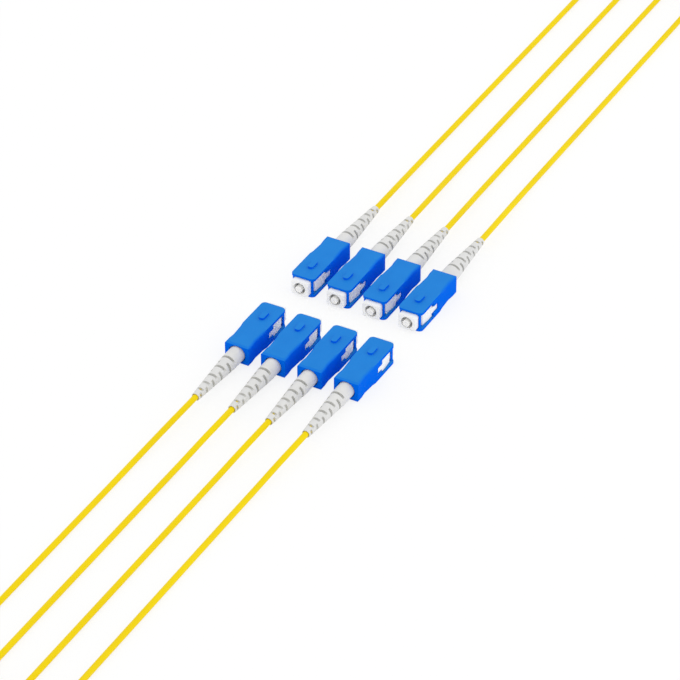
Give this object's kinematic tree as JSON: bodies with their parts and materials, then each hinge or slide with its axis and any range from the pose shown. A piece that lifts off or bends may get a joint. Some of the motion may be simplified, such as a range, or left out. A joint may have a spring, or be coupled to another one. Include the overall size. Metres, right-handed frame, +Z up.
{
  "type": "fibre optic patch cord set",
  "caption": "Simplex SC fibre patch cords with push-pull grips, floating ferrules, slotted boots and thin cords with tied coils.",
  "frame": {"origin": "centre of the two facing groups of connectors, on the surface that they lie on", "axes": "+X along the connectors, +Y across them, +Z up; connectors 1 to 4 face -X, connectors 5 to 8 face +X"},
  "size_m": [0.5274, 0.0622, 0.0106],
  "materials": {
    "blue_plastic": "moulded, satin gloss",
    "white_plastic": "moulded, satin",
    "zirconia": "polished ceramic with a nickel-plated flange",
    "spring_steel": "drawn wire",
    "boot_elastomer": "moulded, matte",
    "nickel_plated_brass": "nickel plated",
    "crimp_aluminium": "drawn, bright",
    "aramid": "fine yarns",
    "fibre_buffer": "smooth",
    "yellow_jacket": "extruded, satin",
    "tie_plastic": "moulded"
  },
  "bodies": {
    "cords": {"plug_frame_1": "white_plastic", "plug_frame_2": "white_plastic", "plug_frame_3": "white_plastic", "plug_frame_4": "white_plastic", "plug_frame_5": "white_plastic", "plug_frame_6": "white_plastic", "plug_frame_7": "white_plastic", "plug_frame_8": "white_plastic", "boot_1": "boot_elastomer", "boot_2": "boot_elastomer", "boot_3": "boot_elastomer", "boot_4": "boot_elastomer", "boot_5": "boot_elastomer", "boot_6": "boot_elastomer", "boot_7": "boot_elastomer", "boot_8": "boot_elastomer", "spring_1": "spring_steel", "spring_2": "spring_steel", "spring_3": "spring_steel", "spring_4": "spring_steel", "spring_5": "spring_steel", "spring_6": "spring_steel", "spring_7": "spring_steel", "spring_8": "spring_steel", "stop_rings": "nickel_plated_brass", "crimp_sleeves": "crimp_aluminium", "aramid_yarns": "aramid", "buffered_fibres": "fibre_buffer", "cord_lead_1": "yellow_jacket", "cord_lead_2": "yellow_jacket", "cord_lead_3": "yellow_jacket", "cord_lead_4": "yellow_jacket", "cord_lead_5": "yellow_jacket", "cord_lead_6": "yellow_jacket", "cord_lead_7": "yellow_jacket", "cord_lead_8": "yellow_jacket", "cord_coil_1": "yellow_jacket", "cord_coil_2": "yellow_jacket", "cord_coil_3": "yellow_jacket", "cord_coil_4": "yellow_jacket", "coil_ties": "tie_plastic"},
    "grip_1": {"housing_1": "blue_plastic"},
    "floating_ferrule_1": {"ferrule_1": "zirconia"},
    "grip_2": {"housing_2": "blue_plastic"},
    "floating_ferrule_2": {"ferrule_2": "zirconia"},
    "grip_3": {"housing_3": "blue_plastic"},
    "floating_ferrule_3": {"ferrule_3": "zirconia"},
    "grip_4": {"housing_4": "blue_plastic"},
    "floating_ferrule_4": {"ferrule_4": "zirconia"},
    "grip_5": {"housing_5": "blue_plastic"},
    "floating_ferrule_5": {"ferrule_5": "zirconia"},
    "grip_6": {"housing_6": "blue_plastic"},
    "floating_ferrule_6": {"ferrule_6": "zirconia"},
    "grip_7": {"housing_7": "blue_plastic"},
    "floating_ferrule_7": {"ferrule_7": "zirconia"},
    "grip_8": {"housing_8": "blue_plastic"},
    "floating_ferrule_8": {"ferrule_8": "zirconia"}
  },
  "joints": [
    {"name": "grip_slide_1", "type": "slide", "parent": "cords", "child": "grip_1", "axis": [1, 0, 0], "range_m": [0, 0.001]},
    {"name": "ferrule_float_1", "type": "slide", "parent": "cords", "child": "floating_ferrule_1", "axis": [1, 0, 0], "range_m": [0, 0.001], "stiffness_N_per_m": 150, "springref_m": -0.0005, "deforming": ["spring_1"]},
    {"name": "grip_slide_2", "type": "slide", "parent": "cords", "child": "grip_2", "axis": [1, 0, 0], "range_m": [0, 0.001]},
    {"name": "ferrule_float_2", "type": "slide", "parent": "cords", "child": "floating_ferrule_2", "axis": [1, 0, 0], "range_m": [0, 0.001], "stiffness_N_per_m": 150, "springref_m": -0.0005, "deforming": ["spring_2"]},
    {"name": "grip_slide_3", "type": "slide", "parent": "cords", "child": "grip_3", "axis": [1, 0, 0], "range_m": [0, 0.001]},
    {"name": "ferrule_float_3", "type": "slide", "parent": "cords", "child": "floating_ferrule_3", "axis": [1, 0, 0], "range_m": [0, 0.001], "stiffness_N_per_m": 150, "springref_m": -0.0005, "deforming": ["spring_3"]},
    {"name": "grip_slide_4", "type": "slide", "parent": "cords", "child": "grip_4", "axis": [1, 0, 0], "range_m": [0, 0.001]},
    {"name": "ferrule_float_4", "type": "slide", "parent": "cords", "child": "floating_ferrule_4", "axis": [1, 0, 0], "range_m": [0, 0.001], "stiffness_N_per_m": 150, "springref_m": -0.0005, "deforming": ["spring_4"]},
    {"name": "grip_slide_5", "type": "slide", "parent": "cords", "child": "grip_5", "axis": [-1, 0, 0], "range_m": [0, 0.001]},
    {"name": "ferrule_float_5", "type": "slide", "parent": "cords", "child": "floating_ferrule_5", "axis": [-1, 0, 0], "range_m": [0, 0.001], "stiffness_N_per_m": 150, "springref_m": -0.0005, "deforming": ["spring_5"]},
    {"name": "grip_slide_6", "type": "slide", "parent": "cords", "child": "grip_6", "axis": [-1, 0, 0], "range_m": [0, 0.001]},
    {"name": "ferrule_float_6", "type": "slide", "parent": "cords", "child": "floating_ferrule_6", "axis": [-1, 0, 0], "range_m": [0, 0.001], "stiffness_N_per_m": 150, "springref_m": -0.0005, "deforming": ["spring_6"]},
    {"name": "grip_slide_7", "type": "slide", "parent": "cords", "child": "grip_7", "axis": [-1, 0, 0], "range_m": [0, 0.001]},
    {"name": "ferrule_float_7", "type": "slide", "parent": "cords", "child": "floating_ferrule_7", "axis": [-1, 0, 0], "range_m": [0, 0.001], "stiffness_N_per_m": 150, "springref_m": -0.0005, "deforming": ["spring_7"]},
    {"name": "grip_slide_8", "type": "slide", "parent": "cords", "child": "grip_8", "axis": [-1, 0, 0], "range_m": [0, 0.001]},
    {"name": "ferrule_float_8", "type": "slide", "parent": "cords", "child": "floating_ferrule_8", "axis": [-1, 0, 0], "range_m": [0, 0.001], "stiffness_N_per_m": 150, "springref_m": -0.0005, "deforming": ["spring_8"]}
  ]
}
